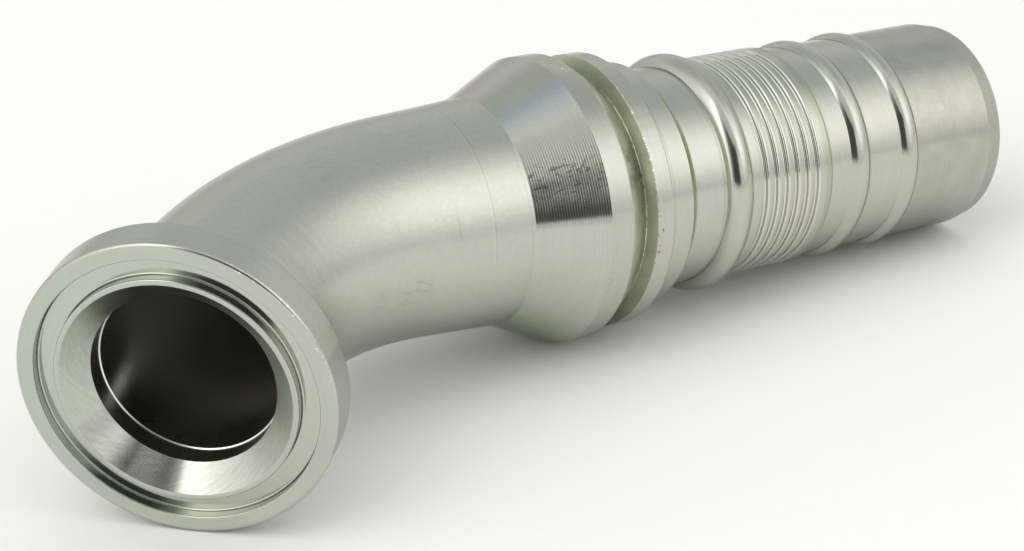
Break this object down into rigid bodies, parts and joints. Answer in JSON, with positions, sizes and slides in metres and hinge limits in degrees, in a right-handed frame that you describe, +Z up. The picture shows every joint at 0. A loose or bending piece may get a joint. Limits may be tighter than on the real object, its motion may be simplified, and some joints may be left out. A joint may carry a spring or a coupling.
{
  "type": "hydraulic hose flange insert",
  "caption": "Bent tubular flange insert: round sealing head with seal groove and countersunk mouth, 45 degree tube, locking collar and ribbed hose stem, open from end to end.",
  "frame": {"origin": "middle of the footprint, on the surface that the part lies on", "axes": "+Z up; the hose stem runs along +X as seen from above and slopes down a little towards +X; the flange faces -X and -Y"},
  "size_m": [0.2314, 0.0876, 0.0606],
  "materials": {
    "flange_insert": "turned and bright zinc plated"
  },
  "bodies": {
    "root": {"flange_insert": "flange_insert"}
  },
  "joints": []
}
